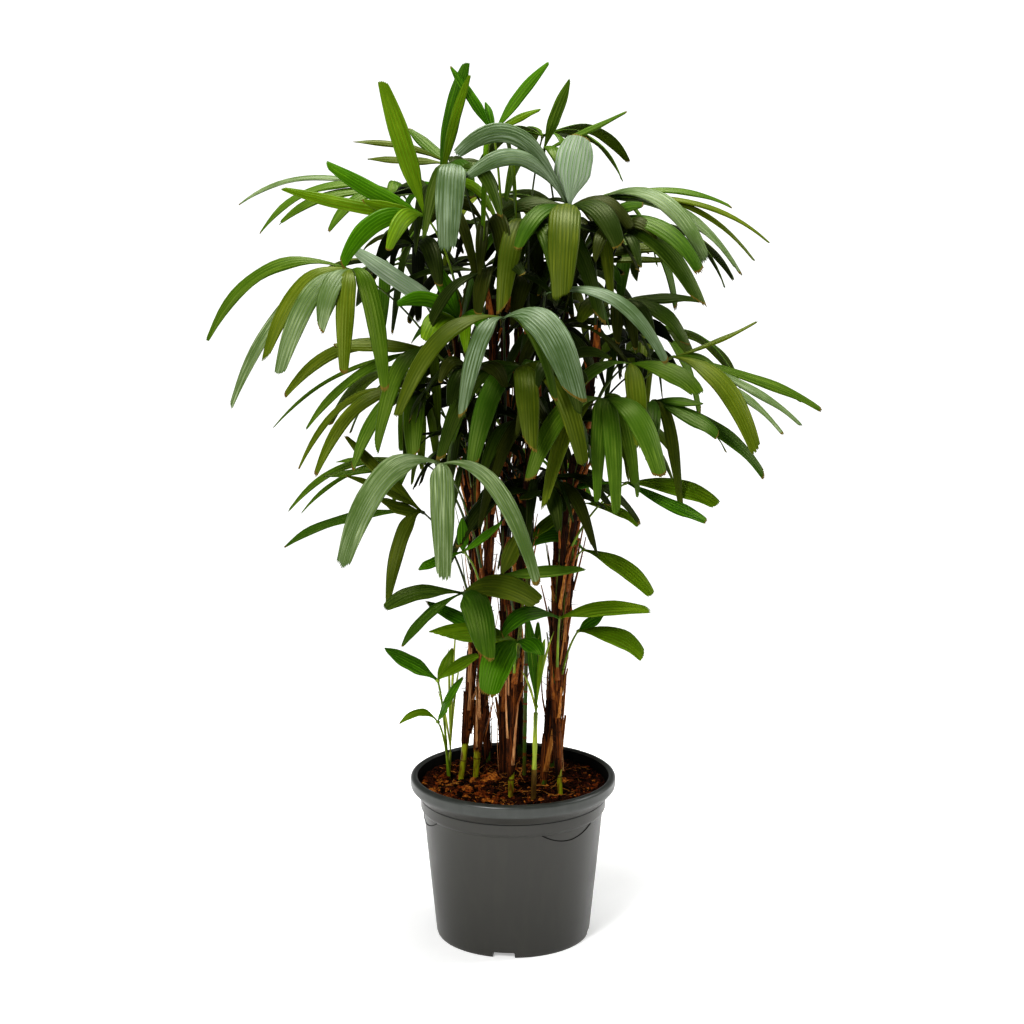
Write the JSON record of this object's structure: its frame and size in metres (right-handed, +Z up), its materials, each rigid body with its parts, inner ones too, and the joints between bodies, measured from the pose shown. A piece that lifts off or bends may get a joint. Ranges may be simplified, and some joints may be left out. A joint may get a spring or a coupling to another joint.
{
  "type": "potted lady palm",
  "caption": "Clump of slim fibrous palm canes with folded fan leaves, standing in a round tapered plant pot filled with potting mix.",
  "frame": {"origin": "middle of the pot's flat underside, on the floor that it stands on", "axes": "+Z up along the pot's axis, +X to the right of the plant's front, +Y behind it"},
  "size_m": [0.7946, 0.6692, 1.1824],
  "materials": {
    "pot_plastic": "dark grey moulded plastic, satin",
    "potting_mix": "loose dark bark and peat, matte",
    "cane_fibre": "brown fibre over green cane, matte",
    "leaf_deep": "deep green leaf, satin",
    "leaf_mid": "green leaf, satin",
    "leaf_young": "bright young leaf, satin"
  },
  "bodies": {
    "root": {"cane_back": "cane_fibre", "cane_back_right": "cane_fibre", "cane_front": "cane_fibre", "cane_left": "cane_fibre", "cane_left_back": "cane_fibre", "cane_left_inner": "cane_fibre", "cane_middle": "cane_fibre", "cane_right": "cane_fibre", "cane_right_front": "cane_fibre", "cane_right_inner": "cane_fibre", "cane_slim": "cane_fibre", "frond_back_1": "leaf_mid", "frond_back_2": "leaf_deep", "frond_back_3": "leaf_mid", "frond_back_4": "leaf_young", "frond_back_right_1": "leaf_deep", "frond_back_right_2": "leaf_mid", "frond_back_right_3": "leaf_mid", "frond_front_1": "leaf_mid", "frond_front_2": "leaf_young", "frond_front_3": "leaf_mid", "frond_front_4": "leaf_deep", "frond_front_5": "leaf_mid", "frond_left_1": "leaf_mid", "frond_left_2": "leaf_young", "frond_left_3": "leaf_young", "frond_left_4": "leaf_mid", "frond_left_5": "leaf_mid", "frond_left_back_1": "leaf_mid", "frond_left_back_2": "leaf_deep", "frond_left_back_3": "leaf_mid", "frond_left_back_4": "leaf_deep", "frond_left_back_5": "leaf_mid", "frond_left_inner_1": "leaf_young", "frond_left_inner_2": "leaf_deep", "frond_left_inner_3": "leaf_mid", "frond_left_inner_4": "leaf_young", "frond_middle_1": "leaf_young", "frond_middle_2": "leaf_deep", "frond_middle_3": "leaf_deep", "frond_middle_4": "leaf_deep", "frond_right_1": "leaf_deep", "frond_right_2": "leaf_mid", "frond_right_3": "leaf_mid", "frond_right_4": "leaf_deep", "frond_right_front_1": "leaf_mid", "frond_right_front_2": "leaf_young", "frond_right_front_3": "leaf_young", "frond_right_front_4": "leaf_mid", "frond_right_inner_1": "leaf_deep", "frond_right_inner_2": "leaf_mid", "frond_right_inner_3": "leaf_deep", "frond_right_inner_4": "leaf_mid", "frond_right_inner_5": "leaf_young", "frond_slim_1": "leaf_deep", "frond_slim_2": "leaf_deep", "pot": "pot_plastic", "shoot_front": "leaf_young", "shoot_left": "leaf_young", "soil": "potting_mix"}
  },
  "joints": []
}
